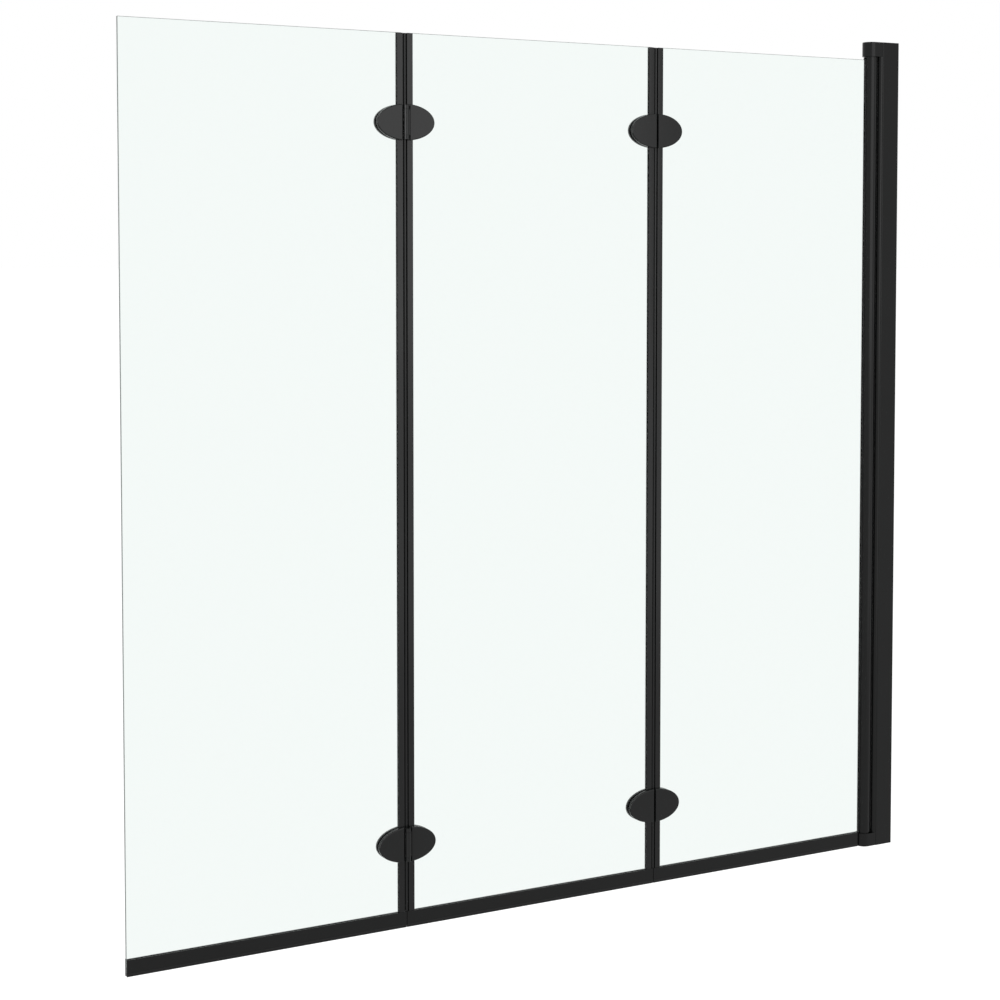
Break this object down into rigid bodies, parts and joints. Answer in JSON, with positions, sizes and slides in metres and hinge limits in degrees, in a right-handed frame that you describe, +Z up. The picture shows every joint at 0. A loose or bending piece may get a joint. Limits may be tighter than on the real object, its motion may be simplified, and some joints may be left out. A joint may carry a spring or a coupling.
{
  "type": "folding bath screen",
  "caption": "Folding bath screen of framed-seam glass panels on oval clamp hinges, with bottom rails and a pivot post in an adjustable black wall profile.",
  "frame": {"origin": "on the wall face of the wall profile, in the middle plane of the glass, at the rim of the bath", "axes": "+X points into the wall and the screen runs towards -X, -Y is the dry side seen in the picture, +Z is up"},
  "size_m": [1.3, 0.0292, 1.3],
  "materials": {
    "toughened_glass": "clear polished glass with a pale green edge",
    "black_profile": "satin black powder coat on extruded aluminium",
    "black_hinge": "satin black coat on cast metal",
    "black_plastic": "matt black moulded plastic",
    "black_rubber": "matt black sealing rubber",
    "pad_rubber": "dark grey pad",
    "bush_plastic": "black acetal",
    "screw_steel": "stainless steel"
  },
  "bodies": {
    "wall": {"wall_channel": "black_profile", "adjusting_profile": "black_profile", "top_cap": "black_plastic", "bottom_cap": "black_plastic", "top_bush": "bush_plastic", "bottom_bush": "bush_plastic", "cap_screws": "screw_steel", "side_screws": "screw_steel", "side_screw_covers": "black_plastic"},
    "right_panel": {"right_glass": "toughened_glass", "pivot_post": "black_profile", "post_gasket": "black_rubber", "post_top_plug": "black_hinge", "post_bottom_plug": "black_hinge", "right_rail": "black_profile", "right_rail_end_cap": "black_plastic", "right_wiper": "black_rubber", "right_bulb_strip": "black_rubber", "inner_upper_right_front_plate": "black_hinge", "inner_upper_right_back_plate": "black_hinge", "inner_upper_pin": "black_hinge", "inner_lower_right_front_plate": "black_hinge", "inner_lower_right_back_plate": "black_hinge", "inner_lower_pin": "black_hinge", "right_hinge_pads": "pad_rubber", "right_clamp_screws": "screw_steel"},
    "middle_panel": {"middle_glass": "toughened_glass", "middle_rail": "black_profile", "middle_wiper": "black_rubber", "middle_plain_strip": "black_rubber", "middle_bulb_strip": "black_rubber", "inner_upper_middle_front_plate": "black_hinge", "inner_upper_middle_back_plate": "black_hinge", "inner_lower_middle_front_plate": "black_hinge", "inner_lower_middle_back_plate": "black_hinge", "outer_upper_middle_front_plate": "black_hinge", "outer_upper_middle_back_plate": "black_hinge", "outer_upper_pin": "black_hinge", "outer_lower_middle_front_plate": "black_hinge", "outer_lower_middle_back_plate": "black_hinge", "outer_lower_pin": "black_hinge", "middle_inner_hinge_pads": "pad_rubber", "middle_outer_hinge_pads": "pad_rubber", "middle_inner_clamp_screws": "screw_steel", "middle_outer_clamp_screws": "screw_steel"},
    "left_panel": {"left_glass": "toughened_glass", "left_rail": "black_profile", "left_rail_end_cap": "black_plastic", "left_wiper": "black_rubber", "left_plain_strip": "black_rubber", "outer_upper_left_front_plate": "black_hinge", "outer_upper_left_back_plate": "black_hinge", "outer_lower_left_front_plate": "black_hinge", "outer_lower_left_back_plate": "black_hinge", "left_hinge_pads": "pad_rubber", "left_clamp_screws": "screw_steel"}
  },
  "joints": [
    {"name": "wall_pivot", "type": "hinge", "parent": "wall", "child": "right_panel", "pos_m": [-0.048, 0, 0.65], "axis": [0, 0, 1], "range_deg": [0, 90]},
    {"name": "inner_fold", "type": "hinge", "parent": "right_panel", "child": "middle_panel", "pos_m": [-0.4605, 0.008, 0.65], "axis": [0, 0, 1], "range_deg": [-175, 0]},
    {"name": "outer_fold", "type": "hinge", "parent": "middle_panel", "child": "left_panel", "pos_m": [-0.8825, -0.008, 0.65], "axis": [0, 0, 1], "range_deg": [0, 175]}
  ]
}
